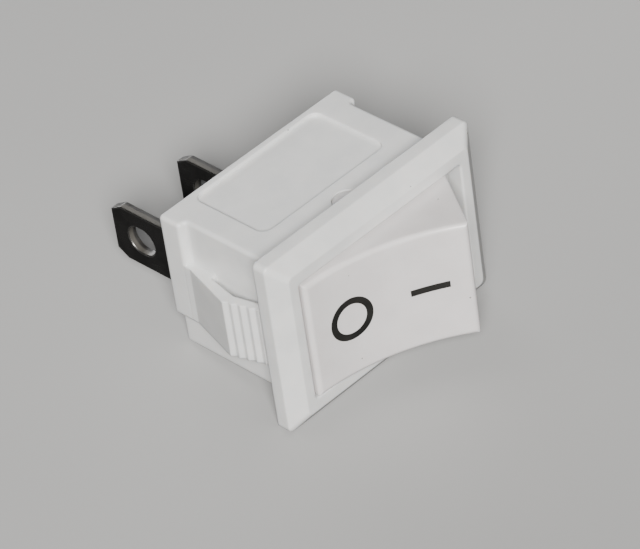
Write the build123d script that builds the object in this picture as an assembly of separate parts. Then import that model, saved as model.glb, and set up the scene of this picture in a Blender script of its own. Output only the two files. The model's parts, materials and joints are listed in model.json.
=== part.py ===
from build123d import *
from math import cos, radians, sin, tan
import os

# Snap-in rocker switch, single pole, on-off, with two blade terminals.
#
# Row frame, in millimetres: X runs along the switch, +Y points back through the panel and
# +Z is one long side. The origin is the middle of the bezel's back, which sits on the panel.
# The rocker is drawn in its own frame, pivot at the origin and face towards -Y, and the
# contact arm in a frame at its middle. Both are then turned to the off position.

# ---- Bezel, in front of the panel ----
BEZEL_LENGTH = 21.0
BEZEL_WIDTH = 15.0
BEZEL_EDGE = 1.1            # straight outer edge
BEZEL_HEIGHT = 2.1          # panel to the flat front rim
BEVEL_RUN = 1.25            # width of the sloping border
BEZEL_CORNER = 0.45
BEZEL_FILLET = 0.15         # softened edges of the border and of the opening
BEZEL_LIP_ENDS = 1.95       # bezel past the body at the ends
BEZEL_LIP_SIDES = 1.5       # bezel past the body at the long sides
OPENING_DEPTH = 1.5         # straight part of the rocker's opening, before it narrows
OPENING_CORNER = 0.3

# ---- Body, behind the panel ----
BODY_DEPTH = 11.0
BODY_FILLET = 0.3
SIDE_WALL = 0.8
END_WALL = 0.6
BASE_THICKNESS = 1.3
BLOCK_STEP = 0.65           # the thicker ends at the back stand out this far
BLOCK_DEPTH = 2.1
BLOCK_FOOT = 2.75           # the thick ends stop this far below the middle
BLOCK_FILLET = 0.32         # at the foot and the crest of the step
FIELD_LENGTH = 12.6         # shallow field sunk into each long side
FIELD_FRONT = 3.15          # panel to the field
FIELD_BACK = 0.65           # field to the back of the body
FIELD_DEPTH = 0.3
FIELD_CORNER = 0.8

# ---- Latches, one on each end ----
LATCH_WIDTH = 5.0
LATCH_DROP = 0.25           # latches below the middle
LATCH_STANDOFF = 1.95       # body's end to the highest tooth
LATCH_RIDGE = 3.95          # panel to the highest tooth
LATCH_TIP = 1.15            # panel to the free end
LATCH_THICKNESS = 0.95
LATCH_TIP_THICKNESS = 0.75
LATCH_FLARE = 0.4           # straight root before the ramp
LATCH_ROOT = 0.2            # root sunk into the block
LATCH_SLOT_DEPTH = 6.5      # panel to the closed end of the slot behind the latch
LATCH_SLOT_WIDTH = 0.5      # the slot's width at its closed end
LATCH_SLOT_FILLET = 0.3
TOOTH_COUNT = 4
TOOTH_STEP = 0.2            # each tooth stands this far in from the last
TOOTH_DEPTH = 0.27          # highest point of a tooth to the hollow in front of it

# ---- Rocker ----
PIVOT_DEPTH = 1.05          # panel to the pivot
REST_TILT = 21.0            # off side pressed
ROCKER_FACE_HEIGHT = 6.2    # pivot to the ends of the face
ROCKER_FACE_HOLLOW = 1.15   # depth of the concave face
ROCKER_END_DRAFT = 10.7     # the ends widen towards the pivot, degrees
ROCKER_SKIRT = 0.3          # ends reach this far past the pivot
ROCKER_WALL = 0.8
ROCKER_FILLET = 0.35
ROCKER_SIDE_CLEARANCE = 0.2
ROCKER_END_CLEARANCE = 0.27     # swinging skirt to the end walls
ROCKER_RIM_CLEARANCE = 0.12     # pressed end of the face to the opening's edge
TRUNNION_RADIUS = 1.1
TRUNNION_CLEARANCE = 0.05
TRUNNION_RECESS = 0.1       # trunnion ends below the body's side
CHEEK_RIM = 0.35            # cheek beyond the trunnion, away from the face
CHEEK_FLANK = 0.95          # cheek's flat end to each side of the trunnion

# ---- Plunger and its spring, in the rocker ----
GUIDE_WALL = 0.7
GUIDE_MOUTH_GAP = 2.05      # guide's mouth over the level arm, for the tilt of both
PLUNGER_RADIUS = 1.25
PLUNGER_CLEARANCE = 0.05
PLUNGER_SHOULDER = 0.6      # pivot to the spring's seat
PLUNGER_TIP_RADIUS = 0.9
PLUNGER_GAP = 0.05          # plunger tip over the level arm
SPIGOT_LENGTH = 1.8
SPRING_WIRE = 0.28
SPRING_WIRE_SIDES = 6       # flats round the wire, which keep the spring light
SPRING_TURNS = 5.5
SPRING_SIDE_GAP = 0.16      # wire to the bore and to the spigot
SPRING_SEAT_GAP = 0.05

# ---- Terminals ----
SHEET = 0.8
BLADE_WIDTH = 4.8
BLADE_TIP = 18.85           # panel to the end of the blades
BLADE_HOLE_LENGTH = 2.7
BLADE_HOLE_WIDTH = 2.3
BLADE_HOLE_INSET = 2.9      # blade end to the hole's centre
BLADE_CORNER_LENGTH = 1.05
BLADE_CORNER_WIDTH = 0.6
BLADE_EDGE = 0.07           # edges broken by the stamping
SLOT_CLEARANCE = 0.05
SHOULDER_STEP = 0.5         # terminals are wider than the blade above the base
SHOULDER_HEIGHT = 1.0
LOAD_BLADE_GAP = 0.75       # load terminal to the end wall
SEAT_MARGIN = 0.1           # seat past the contact
BEND_RADIUS = 0.4
KNIFE_GAP = 0.05            # arm over the rounded knife edge
HORN_WIDTH = 0.8
HORN_RISE = 0.65            # horns stand this far above the middle of the level arm
HORN_CLEARANCE = 0.15

# ---- Contact arm and contacts ----
HINGE_REACH = 6.0           # rocker's pivot to the arm's hinge
ARM_THICKNESS = 0.5
ARM_WIDTH = 5.8
ARM_FLAT_HALF = 0.5
ARM_DISH = 10.0             # each side rises by this angle
ARM_SWING = 4.5             # each way from level
ARM_FREE_SIDE = 3.2
ARM_MARGIN = 0.1            # arm past the contact
CONTACT_INSET = 1.3         # contact inwards of the load blade
CONTACT_RADIUS = 1.1
CONTACT_SPHERE = 4.0
CONTACT_HEAD = 0.45
CONTACT_SHANK_RADIUS = 0.5
CONTACT_SHANK_GAP = 0.05
CONTACT_GAP = 0.06          # left between the contacts when the switch is on
STOP_THICKNESS = 0.8
STOP_WIDTH = 3.0
STOP_GAP = 0.05             # arm over its stop in the off position

ARM_RIDE = SHEET / 2 + KNIFE_GAP + ARM_THICKNESS / 2    # hinge to the arm's middle
NEAR = 0.01                 # tolerance for finding an edge by its place


def arm_offset(x, below, swing):
    """Place, from the hinge, of a point of the arm that is x along it and below its middle."""
    side = 1 if x > 0 else -1
    rise = max(abs(x) - ARM_FLAT_HALF, 0) * tan(radians(ARM_DISH))
    slope = radians(ARM_DISH) * side
    px, py = x + below * sin(slope), below * cos(slope) - rise - ARM_RIDE
    turn = radians(swing)
    return px * cos(turn) - py * sin(turn), px * sin(turn) + py * cos(turn)


# ---- Places worked out from the sizes ----
BODY_LENGTH = BEZEL_LENGTH - 2 * BEZEL_LIP_ENDS
BODY_HALF = BEZEL_WIDTH / 2 - BEZEL_LIP_SIDES
CAVITY_LOW = BODY_LENGTH / 2 - END_WALL
CAVITY_HALF = BODY_HALF - SIDE_WALL
FLOOR = BODY_DEPTH - BASE_THICKNESS
BLOCK_HALF = BODY_LENGTH / 2 + BLOCK_STEP
BLOCK_FRONT = BODY_DEPTH - BLOCK_DEPTH
LATCH_REACH = BODY_LENGTH / 2 + LATCH_STANDOFF

ROCKER_HALF = CAVITY_HALF - ROCKER_SIDE_CLEARANCE
SKIRT_HALF = ((CAVITY_LOW - ROCKER_END_CLEARANCE) ** 2 - ROCKER_SKIRT ** 2) ** 0.5
FACE_HALF = SKIRT_HALF - (ROCKER_FACE_HEIGHT + ROCKER_SKIRT) * tan(radians(ROCKER_END_DRAFT))
FACE_MIDDLE = ROCKER_FACE_HEIGHT - ROCKER_FACE_HOLLOW
PRESSED_REACH = FACE_HALF * cos(radians(REST_TILT)) + ROCKER_FACE_HEIGHT * sin(radians(REST_TILT))
OPENING_HALF = PRESSED_REACH + ROCKER_RIM_CLEARANCE
CHEEK_REACH = TRUNNION_RADIUS + CHEEK_RIM
CHEEK_HALF = TRUNNION_RADIUS + CHEEK_FLANK

SHOULDER_WIDTH = BLADE_WIDTH + 2 * SHOULDER_STEP
BLADE_PITCH = CAVITY_LOW - LOAD_BLADE_GAP - SHEET / 2
CONTACT_OFFSET = BLADE_PITCH - CONTACT_INSET
ARM_CONTACT_SIDE = CONTACT_OFFSET + CONTACT_RADIUS + ARM_MARGIN
HINGE_DEPTH = PIVOT_DEPTH + HINGE_REACH
TOUCH_X, TOUCH_DROP = arm_offset(-CONTACT_OFFSET, ARM_THICKNESS / 2 + CONTACT_HEAD, -ARM_SWING)
SEAT_TOP = HINGE_DEPTH + TOUCH_DROP + CONTACT_GAP + CONTACT_HEAD
SEAT_RISE = FLOOR - SEAT_TOP - SHEET
ARM_TOP = HINGE_DEPTH - ARM_RIDE - ARM_THICKNESS / 2

PLUNGER_REACH = ARM_TOP - PLUNGER_GAP - PIVOT_DEPTH
GUIDE_REACH = ARM_TOP - PIVOT_DEPTH - GUIDE_MOUTH_GAP
BORE_RADIUS = PLUNGER_RADIUS + PLUNGER_CLEARANCE
GUIDE_RADIUS = BORE_RADIUS + GUIDE_WALL
SPRING_RADIUS = BORE_RADIUS - SPRING_SIDE_GAP - SPRING_WIRE / 2
SPIGOT_RADIUS = SPRING_RADIUS - SPRING_WIRE / 2 - SPRING_SIDE_GAP


def to_rest(shape):
    """Carry a solid from the rocker's frame to the row frame, off side pressed."""
    return Pos(0, PIVOT_DEPTH, 0) * Rot(0, 0, -REST_TILT) * shape


def along_y(profile):
    """Revolve a half profile drawn in the XY plane about the Y axis."""
    return revolve(profile, Axis.Y)


# ---- Housing ----
def bezel():
    """Straight edge, sloping border and flat rim of the frame in front of the panel."""
    outer = RectangleRounded(BEZEL_LENGTH, BEZEL_WIDTH, BEZEL_CORNER)
    rim = RectangleRounded(BEZEL_LENGTH - 2 * BEVEL_RUN, BEZEL_WIDTH - 2 * BEVEL_RUN, BEZEL_CORNER)
    edge = extrude(Plane.XZ * outer, BEZEL_EDGE)
    border = loft([Plane.XZ.offset(BEZEL_EDGE) * outer, Plane.XZ.offset(BEZEL_HEIGHT) * rim])
    frame = edge + border
    crease = frame.edges().filter_by_position(Axis.Y, -BEZEL_EDGE - NEAR, NEAR - BEZEL_EDGE)
    return fillet(crease, BEZEL_FILLET)


def body_shell():
    """Box of the body with its thicker ends, long edges rounded."""
    from_front = (Align.CENTER, Align.MIN, Align.CENTER)
    middle = Box(BODY_LENGTH, BODY_DEPTH + BEZEL_EDGE, 2 * BODY_HALF, align=from_front)
    ends = Box(2 * BLOCK_HALF, BLOCK_DEPTH, BODY_HALF + BLOCK_FOOT, align=from_front[:2] + (Align.MIN,))
    body = Pos(0, -BEZEL_EDGE, 0) * middle + Pos(0, BLOCK_FRONT, -BLOCK_FOOT) * ends
    steps = body.edges().filter_by_position(Axis.Y, BLOCK_FRONT - NEAR, BLOCK_FRONT + NEAR)
    body = fillet(steps.filter_by(Axis.Z), BLOCK_FILLET)
    back = body.edges().filter_by_position(Axis.Y, BODY_DEPTH - NEAR, BODY_DEPTH + NEAR)
    along = body.edges().filter_by(Axis.Y)
    corners = along.filter_by(lambda edge: abs(abs(edge.center().Z) - BODY_HALF) < NEAR)
    return fillet(back + corners, BODY_FILLET)


def cavity():
    """Hollow that the rocker swings in: straight at the rim, narrowing to the end walls, corners rounded."""
    front = -2 * BEZEL_HEIGHT
    narrowing = OPENING_DEPTH - BEZEL_HEIGHT
    side = [(0, front), (OPENING_HALF, front), (OPENING_HALF, narrowing), (CAVITY_LOW, 0),
            (CAVITY_LOW, FLOOR), (0, FLOOR)]
    half = make_face(Polyline(side, close=True))
    hollow = extrude(half + mirror(half, Plane.YZ), CAVITY_HALF, both=True)
    corners = hollow.edges().filter_by(
        lambda edge: abs(edge.center().Z) > CAVITY_HALF - NEAR
        and min(abs(end.X) for end in edge.vertices()) > CAVITY_LOW - NEAR)
    return fillet(corners, OPENING_CORNER)


def side_fields():
    """Shallow rounded fields sunk into both long sides."""
    width = BODY_DEPTH - FIELD_BACK - FIELD_FRONT
    field = extrude(RectangleRounded(FIELD_LENGTH, width, FIELD_CORNER), FIELD_DEPTH, both=True)
    field = Pos(0, FIELD_FRONT + width / 2, BODY_HALF) * field
    return field + mirror(field, Plane.XY)


def latch():
    """Springy arm on the +X end: a ramp up to the ridge, then teeth down to the free end."""
    wall = BODY_LENGTH / 2
    inside = wall - END_WALL / 2
    root = BLOCK_FRONT + LATCH_ROOT
    pitch = (LATCH_RIDGE - LATCH_TIP) / TOOTH_COUNT
    outline = [(inside, root), (BLOCK_HALF, root), (BLOCK_HALF, BLOCK_FRONT - LATCH_FLARE)]
    for tooth in range(TOOTH_COUNT):
        crest = LATCH_REACH - tooth * TOOTH_STEP
        outline.append((crest, LATCH_RIDGE - tooth * pitch))
        outline.append((crest - TOOTH_DEPTH, LATCH_RIDGE - (tooth + 0.5) * pitch))
    tip = LATCH_REACH - TOOTH_COUNT * TOOTH_STEP
    slot_corner = (wall + LATCH_SLOT_WIDTH, LATCH_SLOT_DEPTH)
    outline.append((tip, LATCH_TIP))
    outline.append((tip - LATCH_TIP_THICKNESS, LATCH_TIP))
    outline.append((LATCH_REACH - LATCH_THICKNESS, LATCH_RIDGE - pitch / 3))
    outline.append(slot_corner)
    outline.append((inside, LATCH_SLOT_DEPTH))
    side = make_face(Polyline(outline, close=True))
    side = fillet(side.vertices().sort_by_distance(slot_corner)[0], LATCH_SLOT_FILLET)
    return Pos(0, 0, -LATCH_DROP) * extrude(side, LATCH_WIDTH / 2, both=True)


def terminal_slot(x):
    """Cut for one blade through the base."""
    slot = Rectangle(SHEET + 2 * SLOT_CLEARANCE, 4 * BASE_THICKNESS)
    return Pos(x, BODY_DEPTH, 0) * extrude(slot, BLADE_WIDTH / 2 + SLOT_CLEARANCE, both=True)


def arm_stop():
    """Post on the base that the free side of the arm comes down on in the off position."""
    inner = ARM_FREE_SIDE - STOP_THICKNESS
    top = HINGE_DEPTH + arm_offset(inner, ARM_THICKNESS / 2, ARM_SWING)[1] + STOP_GAP
    post = Rectangle(STOP_THICKNESS, FLOOR - top, align=(Align.MIN, Align.MIN))
    return Pos(inner, top, 0) * extrude(post, STOP_WIDTH / 2, both=True)


def seat_rib():
    """Rib on the base under the fixed contact's seat, clear of the terminal's bend."""
    left = SHEET / 2 + BEND_RADIUS + SLOT_CLEARANCE - BLADE_PITCH
    rib = Rectangle(STOP_THICKNESS, SEAT_RISE, align=(Align.MIN, Align.MIN))
    return Pos(left, FLOOR - SEAT_RISE, 0) * extrude(rib, BLADE_WIDTH / 2, both=True)


def make_housing():
    """One moulding: bezel, body, base and both latches."""
    pivot_hole = Pos(0, PIVOT_DEPTH, 0) * Cylinder(TRUNNION_RADIUS + TRUNNION_CLEARANCE, 2 * BODY_HALF)
    shell = bezel() + body_shell() - cavity()
    rim = shell.edges().filter_by_position(Axis.Y, -BEZEL_HEIGHT - NEAR, NEAR - BEZEL_HEIGHT)
    shell = fillet(rim, BEZEL_FILLET) - side_fields() - pivot_hole
    arms = latch() + mirror(latch(), Plane.YZ)
    slots = terminal_slot(0) + terminal_slot(-BLADE_PITCH)
    return shell + arms + arm_stop() + seat_rib() - slots


# ---- Rocker ----
def end_face_x(y, inset=0):
    """Half-length of the rocker at depth y in its own frame, less a wall measured square to it."""
    draft = radians(ROCKER_END_DRAFT)
    return FACE_HALF + (y + ROCKER_FACE_HEIGHT) * tan(draft) - inset / cos(draft)


def rocker_outline():
    """Side view: concave face, drafted ends, cheeks that come down round the pivot."""
    left, right = (-FACE_HALF, -ROCKER_FACE_HEIGHT), (FACE_HALF, -ROCKER_FACE_HEIGHT)
    face = ThreePointArc(left, (0, -FACE_MIDDLE), right)
    rest = Polyline(
        right, (SKIRT_HALF, ROCKER_SKIRT), (CHEEK_HALF, CHEEK_REACH),
        (-CHEEK_HALF, CHEEK_REACH), (-SKIRT_HALF, ROCKER_SKIRT), left)
    return make_face(face + rest)


def rocker_hollow():
    """Inside of the cap, one wall in from the face, the ends and the cheeks."""
    top = ROCKER_WALL - ROCKER_FACE_HEIGHT
    corner = end_face_x(top, ROCKER_WALL)
    mouth = end_face_x(CHEEK_REACH, ROCKER_WALL)
    roof = ThreePointArc((-corner, top), (0, ROCKER_WALL - FACE_MIDDLE), (corner, top))
    rest = Polyline((corner, top), (mouth, CHEEK_REACH), (-mouth, CHEEK_REACH), (-corner, top))
    return extrude(make_face(roof + rest), ROCKER_HALF - ROCKER_WALL, both=True)


def guide():
    """Tube under the face that holds the spring and the plunger."""
    top = ROCKER_WALL / 2 - FACE_MIDDLE
    wall = Pos(0, top) * Rectangle(GUIDE_RADIUS, GUIDE_REACH - top, align=(Align.MIN, Align.MIN))
    return along_y(wall)


def guide_bore():
    """Bore of the guide, closed by the underside of the face."""
    top = ROCKER_WALL - FACE_MIDDLE
    return along_y(Pos(0, top) * Rectangle(BORE_RADIUS, GUIDE_REACH - top, align=(Align.MIN, Align.MIN)))


def make_rocker():
    """Moulded cap with trunnions and the plunger's guide."""
    cap = extrude(rocker_outline(), ROCKER_HALF, both=True)
    front = cap.edges().filter_by_position(Axis.Y, -ROCKER_FACE_HEIGHT - NEAR, NEAR - FACE_MIDDLE)
    cap = fillet(front, ROCKER_FILLET) - rocker_hollow()
    trunnions = Cylinder(TRUNNION_RADIUS, 2 * (BODY_HALF - TRUNNION_RECESS))
    trunnions -= Cylinder(2 * TRUNNION_RADIUS, 2 * (ROCKER_HALF - ROCKER_WALL))
    return to_rest(cap + trunnions + guide() - guide_bore())


# ---- Plunger and spring ----
def make_plunger():
    """Turned pin: spigot for the spring, sliding barrel and round tip."""
    centre = PLUNGER_REACH - PLUNGER_TIP_RADIUS
    start = PLUNGER_SHOULDER - SPIGOT_LENGTH
    lead = PLUNGER_RADIUS - PLUNGER_TIP_RADIUS
    side = Polyline(
        (0, start), (SPIGOT_RADIUS, start), (SPIGOT_RADIUS, PLUNGER_SHOULDER),
        (PLUNGER_RADIUS, PLUNGER_SHOULDER), (PLUNGER_RADIUS, centre - 2 * lead), (PLUNGER_TIP_RADIUS, centre))
    tip = ThreePointArc(
        (PLUNGER_TIP_RADIUS, centre),
        (PLUNGER_TIP_RADIUS * sin(radians(45)), centre + PLUNGER_TIP_RADIUS * cos(radians(45))),
        (0, PLUNGER_REACH))
    return to_rest(along_y(make_face(side + tip + Line((0, PLUNGER_REACH), (0, start)))))


def make_plunger_spring():
    """Compression spring between the rocker's face and the plunger's shoulder."""
    low = ROCKER_WALL - FACE_MIDDLE + SPRING_SEAT_GAP + SPRING_WIRE / 2
    high = PLUNGER_SHOULDER - SPRING_SEAT_GAP - SPRING_WIRE / 2
    length = high - low
    path = Helix(length / SPRING_TURNS, length, SPRING_RADIUS)
    section = RegularPolygon(SPRING_WIRE / 2, SPRING_WIRE_SIDES)
    wire = sweep(Plane(path @ 0, z_dir=path % 0) * section, path)
    return to_rest(Pos(0, low, 0) * Rot(-90, 0, 0) * wire)


# ---- Contacts ----
def contact_rivet(shank):
    """Rivet with a domed head towards +Y and its shank towards -Y, seat at the origin."""
    rim = CONTACT_HEAD - (CONTACT_SPHERE - (CONTACT_SPHERE ** 2 - CONTACT_RADIUS ** 2) ** 0.5)
    side = Polyline(
        (0, -shank), (CONTACT_SHANK_RADIUS, -shank), (CONTACT_SHANK_RADIUS, 0),
        (CONTACT_RADIUS, 0), (CONTACT_RADIUS, rim))
    half = CONTACT_RADIUS / 2
    bulge = CONTACT_HEAD - CONTACT_SPHERE + (CONTACT_SPHERE ** 2 - half ** 2) ** 0.5
    dome = ThreePointArc((CONTACT_RADIUS, rim), (half, bulge), (0, CONTACT_HEAD))
    return along_y(make_face(side + dome + Line((0, CONTACT_HEAD), (0, -shank))))


def shank_hole():
    """Hole that a contact's shank is set in, seat at the origin."""
    return Rot(90, 0, 0) * Cylinder(CONTACT_SHANK_RADIUS + CONTACT_SHANK_GAP, 4 * SHEET)


def arm_place(swing):
    """Place of the middle of the arm in the row frame at a swing from level."""
    return Pos(0, HINGE_DEPTH, 0) * Rot(0, 0, swing) * Pos(0, -ARM_RIDE, 0)


def contact_seat_on_arm():
    """Place of the moving contact's seat in the arm's frame."""
    rise = (CONTACT_OFFSET - ARM_FLAT_HALF) * tan(radians(ARM_DISH))
    return Pos(-CONTACT_OFFSET, -rise, 0) * Rot(0, 0, ARM_DISH) * Pos(0, ARM_THICKNESS / 2, 0)


def make_contact_arm():
    """Dished plate that rocks on the knife edge, notched at both sides for the horns."""
    slope = tan(radians(ARM_DISH))
    half = ARM_THICKNESS / 2
    thick = half / cos(radians(ARM_DISH))
    left = (ARM_CONTACT_SIDE - ARM_FLAT_HALF) * slope
    right = (ARM_FREE_SIDE - ARM_FLAT_HALF) * slope
    outline = [
        (-ARM_CONTACT_SIDE, -left - thick), (-ARM_FLAT_HALF, -half), (ARM_FLAT_HALF, -half),
        (ARM_FREE_SIDE, -right - thick), (ARM_FREE_SIDE, -right + thick), (ARM_FLAT_HALF, half),
        (-ARM_FLAT_HALF, half), (-ARM_CONTACT_SIDE, -left + thick)]
    plate = extrude(make_face(Polyline(outline, close=True)), ARM_WIDTH / 2, both=True)
    notch_side = SHOULDER_WIDTH / 2 - HORN_WIDTH - HORN_CLEARANCE
    notch = Box(SHEET + 2 * HORN_CLEARANCE, 4 * ARM_THICKNESS, ARM_WIDTH,
                align=(Align.CENTER, Align.CENTER, Align.MIN))
    notch = Pos(0, 0, notch_side) * notch
    plate -= notch + mirror(notch, Plane.XY)
    plate -= contact_seat_on_arm() * shank_hole()
    return arm_place(ARM_SWING) * plate


def make_moving_contact():
    """Contact on the underside of the arm."""
    return arm_place(ARM_SWING) * contact_seat_on_arm() * contact_rivet(ARM_THICKNESS)


def make_fixed_contact():
    """Contact on the load terminal's seat."""
    return Pos(TOUCH_X, SEAT_TOP, 0) * Rot(180, 0, 0) * contact_rivet(SHEET)


# ---- Terminals ----
def blade_outline(start):
    """Blade seen along X, from depth start to its tip, corners cut."""
    half = BLADE_WIDTH / 2
    corner = BLADE_TIP - BLADE_CORNER_LENGTH
    narrow = half - BLADE_CORNER_WIDTH
    return make_face(Plane.YZ * Polyline(
        (start, -half), (corner, -half), (BLADE_TIP, -narrow), (BLADE_TIP, narrow),
        (corner, half), (start, half), close=True))


def blade():
    """Stamped blade with a long hole for a soldered wire, all its edges slightly broken."""
    hole = Plane.YZ * SlotOverall(BLADE_HOLE_LENGTH, BLADE_HOLE_WIDTH)
    outline = blade_outline(FLOOR - SHOULDER_HEIGHT) - Pos(0, BLADE_TIP - BLADE_HOLE_INSET, 0) * hole
    plate = extrude(outline, SHEET / 2, both=True)
    sides = plate.edges().group_by(Axis.X)
    return chamfer(sides[0] + sides[-1], BLADE_EDGE)


def shoulders(start):
    """Wider part of a terminal that seats on the base."""
    plate = Box(SHEET, FLOOR - start, SHOULDER_WIDTH, align=(Align.CENTER, Align.MIN, Align.CENTER))
    return Pos(0, start, 0) * plate


def make_common_terminal():
    """Flat stamping: blade, shoulders, rounded knife edge for the arm and a horn at each side."""
    knife = Pos(0, HINGE_DEPTH, 0) * Cylinder(SHEET / 2, SHOULDER_WIDTH)
    upright = shoulders(HINGE_DEPTH) + knife
    top = HINGE_DEPTH - ARM_RIDE - HORN_RISE
    horn = Box(SHEET, FLOOR - top, HORN_WIDTH, align=(Align.CENTER, Align.MIN, Align.MAX))
    horn = Pos(0, top, SHOULDER_WIDTH / 2) * horn
    return blade() + upright + horn + mirror(horn, Plane.XY)


def make_load_terminal():
    """Blade folded over inside the body into a seat for the fixed contact."""
    outer = -BLADE_PITCH - SHEET / 2
    inner = outer + SHEET
    under = SEAT_TOP + SHEET
    reach = TOUCH_X + CONTACT_RADIUS + SEAT_MARGIN
    fold = make_face(Polyline(
        (outer, FLOOR), (outer, SEAT_TOP), (reach, SEAT_TOP), (reach, under), (inner, under),
        (inner, FLOOR), close=True))
    fold = fillet(fold.vertices().sort_by_distance((inner, under))[0], BEND_RADIUS)
    fold = fillet(fold.vertices().sort_by_distance((outer, SEAT_TOP))[0], BEND_RADIUS + SHEET)
    seat = extrude(fold, BLADE_WIDTH / 2, both=True)
    upright = Pos(-BLADE_PITCH, 0, 0) * (blade() + shoulders(FLOOR - SHOULDER_HEIGHT))
    return seat + upright - Pos(TOUCH_X, SEAT_TOP, 0) * shank_hole()


PARTS = {
    "housing": make_housing,
    "rocker": make_rocker,
    "plunger": make_plunger,
    "plunger_spring": make_plunger_spring,
    "contact_arm": make_contact_arm,
    "moving_contact": make_moving_contact,
    "fixed_contact": make_fixed_contact,
    "common_terminal": make_common_terminal,
    "load_terminal": make_load_terminal,
}

os.makedirs("parts", exist_ok=True)
for name, make in PARTS.items():
    export_step(make(), f"parts/{name}.step")
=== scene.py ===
"""Looks of a snap-in rocker switch.

White moulded plastic, plated blades, the O and | marks, the plunger's wound spring and a small studio.
"""

import json
import math

import bpy
import numpy as np
from bpy.props import FloatProperty, FloatVectorProperty, IntProperty, PointerProperty
from mathutils import Euler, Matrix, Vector


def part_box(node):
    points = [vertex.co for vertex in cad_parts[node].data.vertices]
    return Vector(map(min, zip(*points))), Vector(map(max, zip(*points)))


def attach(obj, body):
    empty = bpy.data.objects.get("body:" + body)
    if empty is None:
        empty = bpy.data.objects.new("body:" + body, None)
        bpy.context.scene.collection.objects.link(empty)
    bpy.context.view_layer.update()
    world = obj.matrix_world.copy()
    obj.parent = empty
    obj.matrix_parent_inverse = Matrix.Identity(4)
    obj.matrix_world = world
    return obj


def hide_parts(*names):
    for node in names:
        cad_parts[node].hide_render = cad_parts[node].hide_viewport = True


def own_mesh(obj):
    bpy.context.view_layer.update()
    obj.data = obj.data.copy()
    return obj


bl_info = {
    "name": "Rocker Switch Looks",
    "version": (1, 0, 0),
    "blender": (4, 5, 0),
    "location": "3D View > Sidebar > Rocker Switch",
    "description": "Finishes, marks and studio for a snap-in rocker switch",
    "category": "Object",
}

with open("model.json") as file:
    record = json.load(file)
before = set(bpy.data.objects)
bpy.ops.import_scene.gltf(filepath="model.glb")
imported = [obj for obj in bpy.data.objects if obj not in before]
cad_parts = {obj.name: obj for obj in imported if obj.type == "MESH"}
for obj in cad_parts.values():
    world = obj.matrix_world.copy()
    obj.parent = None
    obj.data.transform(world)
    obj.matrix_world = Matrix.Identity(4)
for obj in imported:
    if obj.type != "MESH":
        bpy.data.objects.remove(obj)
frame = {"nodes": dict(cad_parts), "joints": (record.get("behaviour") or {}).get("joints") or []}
NODES = frame["nodes"]
JOINTS = {joint["name"]: joint for joint in frame["joints"]}
PIVOT = np.array(JOINTS["rocker_pivot"]["pos_m"])
HOUSING_LOW, HOUSING_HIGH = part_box("housing")
MM = 0.001

SHEET_HALF = 0.4 * MM       # half the terminals' thickness
SHEAR_SPREAD = 0.1 * MM     # the cut edge changes tone over this length
GRAIN_DEPTH = 0.02 * MM     # of the moulded grain and of the paper's
LINE_DEPTH = 0.01 * MM      # of the rolling lines on metal
SPECKS_PER_METRE = 900.0    # places along a metre where a speck of dust may lie
SPECK_SHARE = 0.2           # share of those places that hold one
DRAWN_OUT = 0.04            # rolling lines run along Y, where their noise is drawn out to this scale

INK_FLAT = 0.97             # share of the stroke that is flat on top
INK_SIDE = 0.4              # share of the ink's height where its top corners start
BAR_LINES = 25              # rows of points along the bar

COIL_PITCH = 1.04           # pitch of the spring's closed turns, in thicknesses of its wire
EASE_TURNS = 0.5            # turns between a closed turn and the open ones

FLOOR_RISE = 0.1            # bezel's lip below the body, as a share of the bezel's width
FLOOR_GAP = 0.02 * MM       # left between the floor and the bezel's edge
FLOOR_REACH = 3             # the floor's slope runs out within this many depths of the body
FLOOR_LINES = 181           # lines of points along each side of the floor
FLOOR_CROWDING = 3          # power that draws the floor's lines together under the switch

# A Mix node's sockets for colours, by number, because their names repeat
MIX_FACTOR, MIX_FIRST, MIX_SECOND, MIX_RESULT = 0, 6, 7, 2


def colour(name, description, default):
    """A colour that a user may change."""
    return FloatVectorProperty(name=name, description=description, default=default, size=3, min=0, max=1,
                               subtype="COLOR")


def length(name, description, millimetres, low=None):
    """A length that a user may change, given here in millimetres."""
    limits = {} if low is None else {"min": low * MM}
    return FloatProperty(name=name, description=description, default=millimetres * MM, unit="LENGTH",
                         subtype="DISTANCE", precision=5, **limits)


def angle(name, description, degrees):
    """An angle that a user may change, given here in degrees."""
    return FloatProperty(name=name, description=description, default=math.radians(degrees), unit="ROTATION",
                         subtype="ANGLE")


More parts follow.
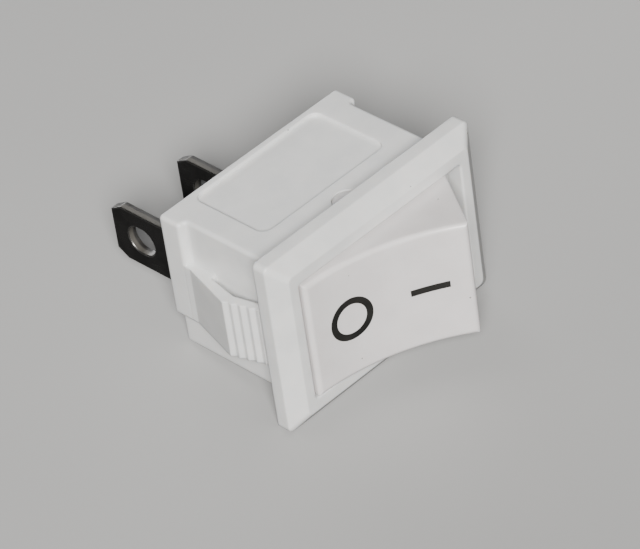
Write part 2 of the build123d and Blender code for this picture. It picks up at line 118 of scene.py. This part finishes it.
class FinishSettings(bpy.types.PropertyGroup):
    """Colours of the switch's materials and the sizes of their texture."""

    housing: colour("Housing", "White nylon of the bezel and body", (0.80, 0.80, 0.79))
    housing_shade: colour("Housing Shade", "Slightly greyer clouds in the housing", (0.74, 0.745, 0.74))
    rocker: colour("Rocker", "White nylon of the rocker", (0.79, 0.76, 0.755))
    rocker_shade: colour("Rocker Shade", "Slightly greyer clouds in the rocker", (0.745, 0.715, 0.71))
    ink: colour("Marks", "Black pad-print ink", (0.014, 0.014, 0.013))
    ink_worn: colour("Worn Marks", "Ink where it is thin", (0.024, 0.023, 0.021))
    # Painted reflection: the blades' plating colour is set dark to stand in for the dark surroundings that
    # their faces reflect.
    blade: colour("Blades", "Dark plating on the faces of the terminals", (0.115, 0.112, 0.110))
    blade_dull: colour("Dull Blades", "Dull patches on the plating", (0.078, 0.076, 0.075))
    blade_cut: colour("Cut Edges", "Sheared edges of the terminals, duller and paler", (0.15, 0.142, 0.128))
    copper: colour("Contact Arm", "Copper strip", (0.78, 0.42, 0.25))
    copper_dull: colour("Dull Copper", "Oxide on the copper strip", (0.62, 0.32, 0.19))
    silver: colour("Contacts", "Silver rivets", (0.88, 0.86, 0.82))
    silver_dull: colour("Dull Silver", "Tarnish on the rivets", (0.55, 0.52, 0.46))
    wire: colour("Spring", "Drawn spring wire", (0.50, 0.50, 0.52))
    wire_dull: colour("Dull Spring", "Oil film on the wire", (0.28, 0.28, 0.30))
    pin: colour("Plunger", "Natural acetal", (0.78, 0.75, 0.66))
    pin_shade: colour("Plunger Shade", "Slightly darker clouds in the acetal", (0.70, 0.67, 0.58))
    edge_radius: length("Edge Radius", "Radius of the softened edges", 0.14, 0)
    grain: FloatProperty(name="Grain", description="Fine grain features per metre", default=7000, min=100)
    clouds: FloatProperty(name="Clouds", description="Large soft features per metre", default=450, min=10)


class MarkSettings(bpy.types.PropertyGroup):
    """Places and sizes of the O and | marks, measured along the rocker's concave face."""

    face_half: length("Face Half", "Half the chord of the rocker's concave face", 6.446, 1)
    face_hollow: length("Face Hollow", "Depth of the concave face", 1.15, 0.1)
    face_height: length("Face Height", "Pivot to the ends of the face", 6.2, 1)
    tilt: angle("Tilt", "Tilt of the rocker at rest", -21)
    ring_place: length("Ring Place", "Middle of the face to the middle of the ring", -2.93)
    ring_radius: length("Ring Radius", "Ring to the middle of its stroke", 1.53, 0.2)
    bar_place: length("Bar Place", "Middle of the face to the middle of the bar", 3.30)
    bar_length: length("Bar Length", "Length of the bar", 2.94, 0.2)
    stroke: length("Stroke", "Width of the marks' lines", 0.54, 0.05)
    rise: length("Rise", "Marks above the rocker's middle", 0.02)
    ink_height: length("Ink Height", "Ink above the face", 0.012, 0)
    ink_depth: length("Ink Depth", "Ink below the face", 0.03, 0)
    steps: IntProperty(name="Steps", description="Points round the ring", default=96, min=12)


class SpringSettings(bpy.types.PropertyGroup):
    """Sizes of the plunger's spring, measured along the rocker's middle from its pivot."""

    fixed_end: length("Fixed End", "Middle of the wire at the rocker's face", -4.06)
    seat_end: length("Seat End", "Middle of the wire at the plunger's shoulder", 0.41)
    radius: length("Radius", "Spring's middle to the middle of the wire", 1.0, 0.3)
    wire: length("Wire", "Thickness of the wire", 0.28, 0.05)
    turns: FloatProperty(name="Turns", description="Turns of the wire, the closed ones counted",
                         default=7.5, min=3)
    closed_turns: FloatProperty(name="Closed Turns", description="Turns that lie together at each end",
                                default=1.0, min=0)
    steps: IntProperty(name="Steps", description="Points along each turn", default=40, min=12)
    sides: IntProperty(name="Sides", description="Points round the wire", default=12, min=6)


class StageSettings(bpy.types.PropertyGroup):
    """Floor, lights and camera."""

    floor: colour("Floor", "Pale paper floor", (0.44, 0.44, 0.437))
    floor_shade: colour("Floor Shade", "Soft tone in the paper", (0.41, 0.41, 0.407))
    floor_bounce: colour("Floor Bounce", "Floor for the light that it throws back", (0.07, 0.07, 0.07))
    floor_half: length("Floor Half", "Half the floor's side", 900, 50)
    world: colour("Room", "Even light from the room", (0.030, 0.031, 0.032))
    backdrop: colour("Backdrop", "Paper behind the floor's edge", (0.56, 0.56, 0.555))
    azimuth: angle("Azimuth", "Camera's direction round the switch, from the front", -40.777)
    elevation: angle("Elevation", "Camera's height above the switch", 38.309)
    roll: angle("Roll", "Camera turned about its own axis", -8.704)
    distance: length("Distance", "Camera to its target", 299.363, 50)
    target: FloatVectorProperty(name="Target", description="Point that the camera looks at", size=3,
                                default=(-0.0024705, 0.0023298, 0.0001908), unit="LENGTH", subtype="XYZ")
    lens: FloatProperty(name="Lens", description="Focal length in millimetres", default=235.605, min=20)
    key_strength: FloatProperty(name="Key Light", description="Watts on a square metre", default=6.5, min=0)
    back_strength: FloatProperty(name="Back Light", description="Watts on a square metre", default=1.5, min=0)


# ---- Node helpers ----
def add(tree, kind, values=(), **settings):
    """A node with some settings and input values, the values given as (input, value) pairs."""
    node = tree.nodes.new(kind)
    for name, value in settings.items():
        setattr(node, name, value)
    for socket, value in values:
        node.inputs[socket].default_value = value
    return node


def new_group(name, inputs, outputs):
    """A shader node group, with inputs as (name, type, default) and outputs as (name, type)."""
    group = bpy.data.node_groups.new(name, "ShaderNodeTree")
    for label, kind, default in inputs:
        group.interface.new_socket(label, in_out="INPUT", socket_type=kind).default_value = default
    for label, kind in outputs:
        group.interface.new_socket(label, in_out="OUTPUT", socket_type=kind)
    return group, group.nodes.new("NodeGroupInput").outputs, group.nodes.new("NodeGroupOutput").inputs


def feed(tree, socket, source):
    """Set an input to a number, or link it to another node's output."""
    if isinstance(source, (int, float)):
        socket.default_value = source
    else:
        tree.links.new(source, socket)


def mix_colour(tree, factor, first, second):
    """A colour between two others, by a factor."""
    mix = add(tree, "ShaderNodeMix", data_type="RGBA")
    for socket, source in zip((MIX_FACTOR, MIX_FIRST, MIX_SECOND), (factor, first, second)):
        tree.links.new(source, mix.inputs[socket])
    return mix.outputs[MIX_RESULT]


def maths(tree, operation, *terms, clamp=False):
    """A Math node whose terms are sockets or numbers."""
    node = add(tree, "ShaderNodeMath", operation=operation, use_clamp=clamp)
    for socket, term in zip(node.inputs, terms):
        feed(tree, socket, term)
    return node.outputs[0]


def noise(tree, vector, scale, detail=2.0, roughness=0.5):
    """Noise on a vector; scale is a number or a socket."""
    node = add(tree, "ShaderNodeTexNoise", (("Detail", detail), ("Roughness", roughness)))
    tree.links.new(vector, node.inputs["Vector"])
    feed(tree, node.inputs["Scale"], scale)
    return node.outputs["Fac"]


def stretch(tree, value, low, high, first=0.0, last=1.0):
    """A value's range from low to high, stretched from first to last, which are numbers or sockets."""
    node = add(tree, "ShaderNodeMapRange", (("From Min", low), ("From Max", high)))
    tree.links.new(value, node.inputs["Value"])
    feed(tree, node.inputs["To Min"], first)
    feed(tree, node.inputs["To Max"], last)
    return node.outputs[0]


def polish(tree, first, second, given):
    """A roughness from a group's Smooth to its Rough, by the mean of two noises."""
    mean = maths(tree, "ADD", maths(tree, "MULTIPLY", first, 0.5), maths(tree, "MULTIPLY", second, 0.5))
    return stretch(tree, mean, 0.3, 0.7, given["Smooth"], given["Rough"])


def softened_edges():
    """Group: the normal of slightly rounded edges, and a mask that is 1 on them."""
    group, given, out = new_group(
        "softened edges", [("Radius", "NodeSocketFloat", 0.0001)],
        [("Normal", "NodeSocketVector"), ("Edge", "NodeSocketFloat")])
    bevel = add(group, "ShaderNodeBevel", samples=6)
    group.links.new(given["Radius"], bevel.inputs["Radius"])
    facing = add(group, "ShaderNodeVectorMath", operation="DOT_PRODUCT")
    geometry = add(group, "ShaderNodeNewGeometry")
    group.links.new(bevel.outputs["Normal"], facing.inputs[0])
    group.links.new(geometry.outputs["Normal"], facing.inputs[1])
    turned = maths(group, "SUBTRACT", 1.0, facing.outputs["Value"])
    group.links.new(maths(group, "MULTIPLY", turned, 6.0, clamp=True), out["Edge"])
    group.links.new(bevel.outputs["Normal"], out["Normal"])
    return group


def moulded_grain():
    """Group: clouds, fine grain and a few dust specks of a moulded surface."""
    group, given, out = new_group(
        "moulded grain",
        [("Colour", "NodeSocketColor", (0.8, 0.8, 0.8, 1)), ("Shade", "NodeSocketColor", (0.7, 0.7, 0.7, 1)),
         ("Dust", "NodeSocketColor", (0.24, 0.23, 0.21, 1)), ("Clouds", "NodeSocketFloat", 450.0),
         ("Grain", "NodeSocketFloat", 7000.0), ("Smooth", "NodeSocketFloat", 0.3),
         ("Rough", "NodeSocketFloat", 0.45), ("Specks", "NodeSocketFloat", 0.05)],
        [("Colour", "NodeSocketColor"), ("Roughness", "NodeSocketFloat"), ("Height", "NodeSocketFloat")])
    place = add(group, "ShaderNodeTexCoord").outputs["Object"]
    cloud = noise(group, place, given["Clouds"], 3.0)
    grain = noise(group, place, given["Grain"], 2.0, 0.6)
    speck = add(group, "ShaderNodeTexVoronoi", (("Scale", SPECKS_PER_METRE), ("Randomness", 1.0)))
    group.links.new(place, speck.inputs["Vector"])
    chosen = add(group, "ShaderNodeSeparateColor")
    group.links.new(speck.outputs["Color"], chosen.inputs[0])
    dusty = maths(group, "MULTIPLY", maths(group, "LESS_THAN", speck.outputs["Distance"], given["Specks"]),
                  maths(group, "LESS_THAN", chosen.outputs[0], SPECK_SHARE))
    tint = mix_colour(group, stretch(group, cloud, 0.35, 0.65), given["Colour"], given["Shade"])
    group.links.new(mix_colour(group, dusty, tint, given["Dust"]), out["Colour"])
    group.links.new(polish(group, cloud, grain, given), out["Roughness"])
    group.links.new(maths(group, "ADD", maths(group, "MULTIPLY", grain, 0.35), cloud), out["Height"])
    return group


def rolled_sheet():
    """Group: rolling lines, dull patches and paler edges of sheet metal or drawn wire; the paler edges are a
    painted glint along with rubbed wear.
    """
    group, given, out = new_group(
        "rolled sheet",
        [("Colour", "NodeSocketColor", (0.6, 0.6, 0.6, 1)), ("Dull", "NodeSocketColor", (0.3, 0.3, 0.3, 1)),
         ("Bright", "NodeSocketColor", (0.9, 0.9, 0.9, 1)), ("Edge", "NodeSocketFloat", 0.0),
         ("Lines", "NodeSocketFloat", 9000.0), ("Patches", "NodeSocketFloat", 500.0),
         ("Smooth", "NodeSocketFloat", 0.2), ("Rough", "NodeSocketFloat", 0.5)],
        [("Colour", "NodeSocketColor"), ("Roughness", "NodeSocketFloat"), ("Height", "NodeSocketFloat")])
    place = add(group, "ShaderNodeTexCoord").outputs["Object"]
    drawn = add(group, "ShaderNodeMapping", (("Scale", (1.0, DRAWN_OUT, 1.0)),))
    group.links.new(place, drawn.inputs["Vector"])
    lines = noise(group, drawn.outputs[0], given["Lines"], 3.0, 0.6)
    patches = noise(group, place, given["Patches"], 4.0, 0.6)
    tint = mix_colour(group, stretch(group, patches, 0.42, 0.62), given["Colour"], given["Dull"])
    # Painted glint: the Edge mask turns the softened edges towards a paler colour, along with rubbed wear.
    group.links.new(mix_colour(group, given["Edge"], tint, given["Bright"]), out["Colour"])
    group.links.new(polish(group, lines, patches, given), out["Roughness"])
    group.links.new(lines, out["Height"])
    return group


def sheared_edges():
    """Group: a mask that is 0 on a sheet's faces and 1 on its cut edges, whose normals turn away from X.

    Past the sheet's middle, where the cut has torn instead of sliced, the mask falls to a third.
    """
    group, given, out = new_group("sheared edges", [("Middle", "NodeSocketFloat", 0.0)],
                                  [("Cut", "NodeSocketFloat")])
    place = add(group, "ShaderNodeTexCoord").outputs
    normal = add(group, "ShaderNodeSeparateXYZ")
    group.links.new(place["Normal"], normal.inputs[0])
    facing = maths(group, "ABSOLUTE", normal.outputs[0])
    torn = maths(group, "MULTIPLY", noise(group, place["Object"], 4000.0, 3.0), 0.3)
    level = maths(group, "SUBTRACT", 0.85, maths(group, "ADD", facing, torn))
    edge = maths(group, "MULTIPLY", level, 4.0, clamp=True)
    point = add(group, "ShaderNodeSeparateXYZ")
    group.links.new(place["Object"], point.inputs[0])
    past = maths(group, "SUBTRACT", point.outputs[0], given["Middle"])
    sliced = stretch(group, past, SHEAR_SPREAD, 0.0, first=0.33)
    group.links.new(maths(group, "MULTIPLY", edge, sliced), out["Cut"])
    return group


def group_named(name, make):
    """The node group of that name, made the first time it is asked for."""
    return bpy.data.node_groups.get(name) or make()


def start_material(name):
    """A plain material, its node tree and its shader."""
    material = bpy.data.materials.new(name)
    material.use_nodes = True
    return material, material.node_tree, material.node_tree.nodes["Principled BSDF"]


def place_group(tree, name, make, values):
    """A group node in a material, with values of its own."""
    return add(tree, "ShaderNodeGroup", values, node_tree=group_named(name, make))


def spread_texture(tree, shader, texture, strength, depth, edges=None):
    """Feed the shader a texture's colour, roughness and bumps, the bumps on top of any softened edges."""
    tree.links.new(texture.outputs["Colour"], shader.inputs["Base Color"])
    tree.links.new(texture.outputs["Roughness"], shader.inputs["Roughness"])
    bump = add(tree, "ShaderNodeBump", (("Strength", strength), ("Distance", depth)))
    tree.links.new(texture.outputs["Height"], bump.inputs["Height"])
    if edges is not None:
        tree.links.new(edges.outputs["Normal"], bump.inputs["Normal"])
    tree.links.new(bump.outputs["Normal"], shader.inputs["Normal"])


def plastic(name, tone, shade, smooth=0.3, rough=0.45, specks=0.06, translucent=0.12, gloss=0.5,
            softened=True):
    """Moulded plastic: soft clouds, fine grain, dust, softened edges and a little light inside."""
    look = bpy.context.scene.switch_finish
    material, tree, shader = start_material(name)
    edges = None
    if softened:
        edges = place_group(tree, "softened edges", softened_edges, [("Radius", look.edge_radius)])
    grain = place_group(
        tree, "moulded grain", moulded_grain,
        [("Colour", (*tone, 1)), ("Shade", (*shade, 1)), ("Clouds", look.clouds), ("Grain", look.grain),
         ("Smooth", smooth), ("Rough", rough), ("Specks", specks)])
    spread_texture(tree, shader, grain, strength=0.35, depth=GRAIN_DEPTH, edges=edges)
    shader.inputs["Subsurface Weight"].default_value = translucent
    shader.inputs["Subsurface Radius"].default_value = (1.0, 0.9, 0.8)
    shader.inputs["Subsurface Scale"].default_value = 0.8 * MM
    shader.inputs["Specular IOR Level"].default_value = gloss
    return material


def metal(name, tone, dull, painted_glint_and_wear, lines=9000.0, patches=500.0, cut=None, middle=0.0):
    """Sheet metal or wire: rolling lines, dull patches, paler edges that are a painted glint along with
    rubbed wear, and cut edges of another colour.

    A sheet with cut edges gives their colour and its middle's place along X.
    """
    look = bpy.context.scene.switch_finish
    material, tree, shader = start_material(name)
    edges = place_group(tree, "softened edges", softened_edges, [("Radius", look.edge_radius)])
    sheet = place_group(
        tree, "rolled sheet", rolled_sheet,
        [("Colour", (*tone, 1)), ("Dull", (*dull, 1)), ("Bright", (*painted_glint_and_wear, 1)), ("Lines", lines),
         ("Patches", patches), ("Smooth", 0.2), ("Rough", 0.45)])
    # The softened edges' mask paints a glint, with rubbed wear, in the paler colour.
    tree.links.new(edges.outputs["Edge"], sheet.inputs["Edge"])
    spread_texture(tree, shader, sheet, strength=0.2, depth=LINE_DEPTH, edges=edges)
    shader.inputs["Metallic"].default_value = 1.0
    if cut is not None:
        sheared = place_group(tree, "sheared edges", sheared_edges, [("Middle", middle)]).outputs["Cut"]
        paler = add(tree, "ShaderNodeMix", ((MIX_SECOND, (*cut, 1)),), data_type="RGBA")
        tree.links.new(sheared, paler.inputs[MIX_FACTOR])
        tree.links.new(sheet.outputs["Colour"], paler.inputs[MIX_FIRST])
        tree.links.new(paler.outputs[MIX_RESULT], shader.inputs["Base Color"])
        tree.links.new(maths(tree, "MULTIPLY_ADD", sheared, -0.5, 1.0), shader.inputs["Metallic"])
    return material


def dress(node, material):
    """Give a CAD node its material."""
    mesh = NODES[node].data
    mesh.materials.clear()
    mesh.materials.append(material)


# ---- Surfaces ----
def surface(name, points, closed_u, closed_v, material, smooth=True, capped=False):
    """A mesh from a grid of points, one quad between each four neighbours.

    points has the shape (rows, columns, 3). A closed direction joins its last line to its first.
    A capped one has its first and last rows filled by a fan of triangles round each row's middle.
    """
    rows, columns = points.shape[:2]
    index = np.arange(rows * columns).reshape(rows, columns)
    if closed_u:
        index = np.vstack([index, index[:1]])
    if closed_v:
        index = np.hstack([index, index[:, :1]])
    quads = np.stack([index[:-1, :-1], index[1:, :-1], index[1:, 1:], index[:-1, 1:]], axis=-1)
    faces = quads.reshape(-1, 4).tolist()
    spots = points.reshape(-1, 3)
    if capped:
        spots = np.vstack([spots, points[0].mean(axis=0), points[-1].mean(axis=0)])
        middle = np.full(index.shape[1] - 1, rows * columns)
        faces += np.stack([middle, index[0, :-1], index[0, 1:]], axis=-1).tolist()
        faces += np.stack([middle + 1, index[-1, 1:], index[-1, :-1]], axis=-1).tolist()
    return mesh_object(name, spots, faces, material, smooth)


def mesh_object(name, points, faces, material, smooth):
    """An object at the origin, from an array of points and a list of faces."""
    mesh = bpy.data.meshes.new(name)
    mesh.from_pydata(points.tolist(), [], faces)
    mesh.polygons.foreach_set("use_smooth", np.full(len(faces), smooth))
    mesh.materials.append(material)
    mesh.update()
    piece = bpy.data.objects.new(name, mesh)
    bpy.context.scene.collection.objects.link(piece)
    return piece


def with_rocker(x, y, z):
    """Points given from the rocker's pivot, turned with the rocker to its place at rest."""
    tilt = bpy.context.scene.switch_marks.tilt
    cos, sin = math.cos(tilt), math.sin(tilt)
    return np.stack([x * cos - y * sin, x * sin + y * cos, np.broadcast_to(z, x.shape)], axis=-1) + PIVOT


def on_face(along, across, height):
    """Points on the rocker's concave face at rest, from lengths along its arc and across it.

    The face is part of a cylinder with radius R = (half chord squared + hollow squared) / (2 hollow).
    A point at arc length s and height h above the face lies at the angle s / R and the radius R - h,
    then turns with the rocker about its pivot.
    """
    marks = bpy.context.scene.switch_marks
    radius = (marks.face_half ** 2 + marks.face_hollow ** 2) / (2 * marks.face_hollow)
    centre = marks.face_hollow - marks.face_height - radius
    turn = along / radius
    x = (radius - height) * np.sin(turn)
    y = centre + (radius - height) * np.cos(turn)
    return with_rocker(x, y, across)


def ink_section():
    """Cross-section of a line of ink: places across the stroke, and heights. Its top corners are cut."""
    marks = bpy.context.scene.switch_marks
    side = np.array([-1, -1, -INK_FLAT, INK_FLAT, 1, 1]) * marks.stroke / 2
    top, low = marks.ink_height, -marks.ink_depth
    shoulder = top * INK_SIDE
    height = np.array([low, shoulder, top, top, shoulder, low])
    return side, height


def ring_mark(material):
    """The O: the ink's section carried round a circle that is drawn on the face.

    At the turn t, a point of the section lies at the ring's radius plus its side, so it is at
    along = place + (radius + side) cos t and across = rise - (radius + side) sin t.
    """
    marks = bpy.context.scene.switch_marks
    side, height = ink_section()
    turn = np.linspace(0, 2 * np.pi, marks.steps, endpoint=False)[:, None]
    reach = marks.ring_radius + side[None, :]
    points = on_face(marks.ring_place + reach * np.cos(turn), marks.rise - reach * np.sin(turn),
                     np.broadcast_to(height, reach.shape))
    return surface("mark_off", points, True, True, material, smooth=False)


def bar_mark(material):
    """The |: the ink's section carried straight along the face, and capped at both ends."""
    marks = bpy.context.scene.switch_marks
    side, height = ink_section()
    run = np.linspace(-0.5, 0.5, BAR_LINES) * marks.bar_length + marks.bar_place
    along, across = np.meshgrid(run, side + marks.rise, indexing="ij")
    points = on_face(along, across, np.broadcast_to(height, along.shape))
    return surface("mark_on", points, False, True, material, smooth=False, capped=True)


def spring_rise(turn, spring):
    """Heights of the wire's middle over the fixed end, at an even row of turns.

    The pitch is a little over the wire's thickness for the closed turns at both ends, then eases as
    s = 3 e^2 - 2 e^3 over EASE_TURNS to the open pitch, which is the one that fills the spring's length.
    """
    ease = np.clip((np.minimum(turn, turn[-1] - turn) - spring.closed_turns) / EASE_TURNS, 0, 1)
    opened = ease ** 2 * (3 - 2 * ease)
    step = turn[1] - turn[0]
    share = np.concatenate([[0], np.cumsum((opened[1:] + opened[:-1]) / 2)]) * step
    together = spring.wire * COIL_PITCH
    spare = spring.seat_end - spring.fixed_end - together * turn[-1]
    return together * turn + spare * share / share[-1]


def wire_spring(material):
    """The plunger's spring: a round section carried along a helix round the rocker's middle line.

    At the turn t the wire's middle is at the angle a = 2 pi t, the spring's radius R and the height that
    spring_rise gives. A point of the section at the angle b lies at cos b along the outward radius and
    at sin b along the radius crossed with the helix's tangent, each times the wire's radius.
    """
    spring = bpy.context.scene.switch_spring
    turn = np.linspace(0, spring.turns, int(spring.turns * spring.steps) + 1)
    around = 2 * np.pi * turn
    height = spring.fixed_end + spring_rise(turn, spring)
    outward = np.stack([np.cos(around), 0 * around, np.sin(around)], axis=-1)
    middle = outward * spring.radius + np.stack([0 * height, height, 0 * height], axis=-1)
    tangent = np.gradient(middle, axis=0)
    tangent /= np.linalg.norm(tangent, axis=1, keepdims=True)
    beside = np.cross(outward, tangent)
    round_wire = np.linspace(0, 2 * np.pi, spring.sides, endpoint=False)[None, :, None]
    reach = np.cos(round_wire) * outward[:, None] + np.sin(round_wire) * beside[:, None]
    x, y, z = np.moveaxis(middle[:, None] + spring.wire / 2 * reach, -1, 0)
    return surface("wire_spring", with_rocker(x, y, z), False, True, material, capped=True)


# ---- Operators ----
class SWITCH_OT_housing(bpy.types.Operator):
    """Give the bezel, body and latches their white nylon."""

    bl_idname = "switch_looks.housing"
    bl_label = "Housing"

    def execute(self, context):
        look = context.scene.switch_finish
        dress("housing", plastic("white_housing_nylon", look.housing, look.housing_shade, translucent=0.4))
        return {"FINISHED"}


class SWITCH_OT_rocker(bpy.types.Operator):
    """Give the rocker its smoother nylon and print the O and | marks on it."""

    bl_idname = "switch_looks.rocker"
    bl_label = "Rocker and Marks"

    def execute(self, context):
        look = context.scene.switch_finish
        dress("rocker", plastic("white_rocker_nylon", look.rocker, look.rocker_shade,
                                smooth=0.26, rough=0.38, translucent=0.25))
        ink = plastic("black_pad_ink", look.ink, look.ink_worn, smooth=0.6, rough=0.8, specks=0.0,
                      translucent=0.0, gloss=0.15, softened=False)
        for mark in (ring_mark(ink), bar_mark(ink)):
            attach(mark, "rocker")
        return {"FINISHED"}


class SWITCH_OT_terminals(bpy.types.Operator):
    """Plate the two blade terminals, their faces' colour darkened as a painted reflection of dark
    surroundings.
    """

    bl_idname = "switch_looks.terminals"
    bl_label = "Terminals"

    def execute(self, context):
        look = context.scene.switch_finish
        for node in ("common_terminal", "load_terminal"):
            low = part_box(node)[0]
            # The plating colour is darkened as a painted reflection; the pale third colour paints a glint on
            # the softened edges, along with rubbed wear.
            dress(node, metal(f"{node}_plating", look.blade, look.blade_dull, (0.75, 0.74, 0.71),
                              cut=look.blade_cut, middle=low.x + SHEET_HALF))
        return {"FINISHED"}


class SWITCH_OT_mechanism(bpy.types.Operator):
    """Finish the plunger, its spring, the contact arm and the contacts."""

    bl_idname = "switch_looks.mechanism"
    bl_label = "Mechanism"

    def execute(self, context):
        look = context.scene.switch_finish
        dress("plunger", plastic("turned_acetal", look.pin, look.pin_shade, rough=0.4, specks=0.0))
        # Each metal's third colour is a painted glint on its softened edges, along with rubbed wear.
        self.wind_spring(metal("spring_wire", look.wire, look.wire_dull, (0.7, 0.7, 0.72),
                               lines=14000, patches=900))
        dress("contact_arm", metal("copper_strip", look.copper, look.copper_dull, (0.95, 0.62, 0.42)))
        silver = metal("silver_rivet", look.silver, look.silver_dull, (0.97, 0.96, 0.93),
                       lines=6000, patches=900)
        for node in ("moving_contact", "fixed_contact"):
            dress(node, silver)
        return {"FINISHED"}

    def wind_spring(self, wire):
        """Put in the wound spring, riding on the rocker, in place of the CAD spring, which is hidden."""
        piece = wire_spring(wire)
        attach(piece, "rocker")
        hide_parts("plunger_spring")
        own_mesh(piece)


def soft_light(name, strength, spread, azimuth, elevation, tint):
    """An even light from one direction, as wide as a round panel that fills the spread's angle in degrees."""
    light = bpy.data.lights.new(name, "SUN")
    light.energy, light.angle, light.color = strength, math.radians(spread), tint
    lamp = bpy.data.objects.new(name, light)
    away = direction(math.radians(azimuth), math.radians(elevation))
    lamp.rotation_euler = away.to_track_quat("Z", "Y").to_euler()
    bpy.context.scene.collection.objects.link(lamp)


def seen_by_camera(tree, unseen):
    """A Mix node with one colour for the light thrown on the switch, and its second colour for the view."""
    mix = add(tree, "ShaderNodeMix", ((MIX_FIRST, (*unseen, 1)),), data_type="RGBA")
    tree.links.new(add(tree, "ShaderNodeLightPath").outputs["Is Camera Ray"], mix.inputs[MIX_FACTOR])
    return mix


def direction(azimuth, elevation):
    """Unit vector towards a point round the switch; azimuth 0 is its front."""
    level = math.cos(elevation)
    return Vector((math.sin(azimuth) * level, -math.cos(azimuth) * level, math.sin(elevation)))


def floor_surface(material):
    """Paper under the switch, which lies on the bezel's edge and the back of its body.

    Height is the line through those two edges near the switch. Past it, a hyperbolic tangent of
    the depth lets the line run out level.
    """
    stage = bpy.context.scene.switch_stage
    back = HOUSING_HIGH.y
    rise = (HOUSING_HIGH.z - HOUSING_LOW.z) * FLOOR_RISE
    slope = rise / back
    reach = FLOOR_REACH * back
    line = np.linspace(-1, 1, FLOOR_LINES)
    spread = stage.floor_half * np.sign(line) * np.abs(line) ** FLOOR_CROWDING
    x, y = np.meshgrid(spread, spread, indexing="ij")
    middle = back / 2
    z = HOUSING_LOW.z + slope * (middle + reach * np.tanh((y - middle) / reach)) - FLOOR_GAP
    return surface("floor", np.stack([x, y, z], axis=-1), False, False, material)


class SWITCH_OT_stage(bpy.types.Operator):
    """Lay the pale floor and set up the lights and the camera."""

    bl_idname = "switch_looks.stage"
    bl_label = "Stage"

    def execute(self, context):
        scene, stage = context.scene, context.scene.switch_stage
        paper, tree, shader = start_material("pale_paper")
        grain = place_group(
            tree, "moulded grain", moulded_grain,
            [("Colour", (*stage.floor, 1)), ("Shade", (*stage.floor_shade, 1)), ("Clouds", 12.0),
             ("Grain", 2500.0), ("Smooth", 0.75), ("Rough", 0.9), ("Specks", 0.0)])
        spread_texture(tree, shader, grain, strength=0.1, depth=GRAIN_DEPTH)
        sheet = seen_by_camera(tree, stage.floor_bounce)
        tree.links.new(grain.outputs["Colour"], sheet.inputs[MIX_SECOND])
        tree.links.new(sheet.outputs[MIX_RESULT], shader.inputs["Base Color"])
        floor_surface(paper)

        soft_light("key_light", stage.key_strength, spread=21, azimuth=-41, elevation=35,
                   tint=(1.0, 0.985, 0.96))
        soft_light("back_light", stage.back_strength, spread=40, azimuth=155, elevation=13,
                   tint=(0.95, 0.97, 1.0))
        world = bpy.data.worlds.new("room")
        world.use_nodes = True
        room = seen_by_camera(world.node_tree, stage.world)
        room.inputs[MIX_SECOND].default_value = (*stage.backdrop, 1)
        background = world.node_tree.nodes["Background"]
        world.node_tree.links.new(room.outputs[MIX_RESULT], background.inputs["Color"])
        scene.world = world

        lens = bpy.data.cameras.new("camera")
        lens.lens, lens.clip_start, lens.clip_end = stage.lens, 0.01, 10
        camera = bpy.data.objects.new("camera", lens)
        back = direction(stage.azimuth, stage.elevation)
        turn = back.to_track_quat("Z", "Y") @ Euler((0, 0, stage.roll)).to_quaternion()
        camera.location = Vector(stage.target) + back * stage.distance
        camera.rotation_euler = turn.to_euler()
        scene.collection.objects.link(camera)
        scene.camera = camera
        return {"FINISHED"}


class VIEW3D_PT_switch_looks(bpy.types.Panel):
    """Settings and steps of the switch's looks."""

    bl_label = "Rocker Switch"
    bl_idname = "VIEW3D_PT_switch_looks"
    bl_space_type = "VIEW_3D"
    bl_region_type = "UI"
    bl_category = "Rocker Switch"

    def draw(self, context):
        for group in (getattr(context.scene, name) for name in SETTINGS):
            box = self.layout.box()
            for name in group.__annotations__:
                box.prop(group, name)
        for step in STEPS:
            self.layout.operator(step.bl_idname)


SETTINGS = {"switch_finish": FinishSettings, "switch_marks": MarkSettings, "switch_spring": SpringSettings,
            "switch_stage": StageSettings}
STEPS = (SWITCH_OT_housing, SWITCH_OT_rocker, SWITCH_OT_terminals, SWITCH_OT_mechanism, SWITCH_OT_stage)


def register():
    """Add the settings, steps and panel."""
    for kind in (*SETTINGS.values(), *STEPS, VIEW3D_PT_switch_looks):
        bpy.utils.register_class(kind)
    for name, kind in SETTINGS.items():
        setattr(bpy.types.Scene, name, PointerProperty(type=kind))


def unregister():
    """Take them away again."""
    for name in SETTINGS:
        delattr(bpy.types.Scene, name)
    for kind in (VIEW3D_PT_switch_looks, *reversed(STEPS), *SETTINGS.values()):
        bpy.utils.unregister_class(kind)


def main():
    """Run each step in order."""
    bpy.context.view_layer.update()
    register()
    for step in ("housing", "rocker", "terminals", "mechanism", "stage"):
        getattr(bpy.ops.switch_looks, step)()


if __name__ == "__main__":
    main()
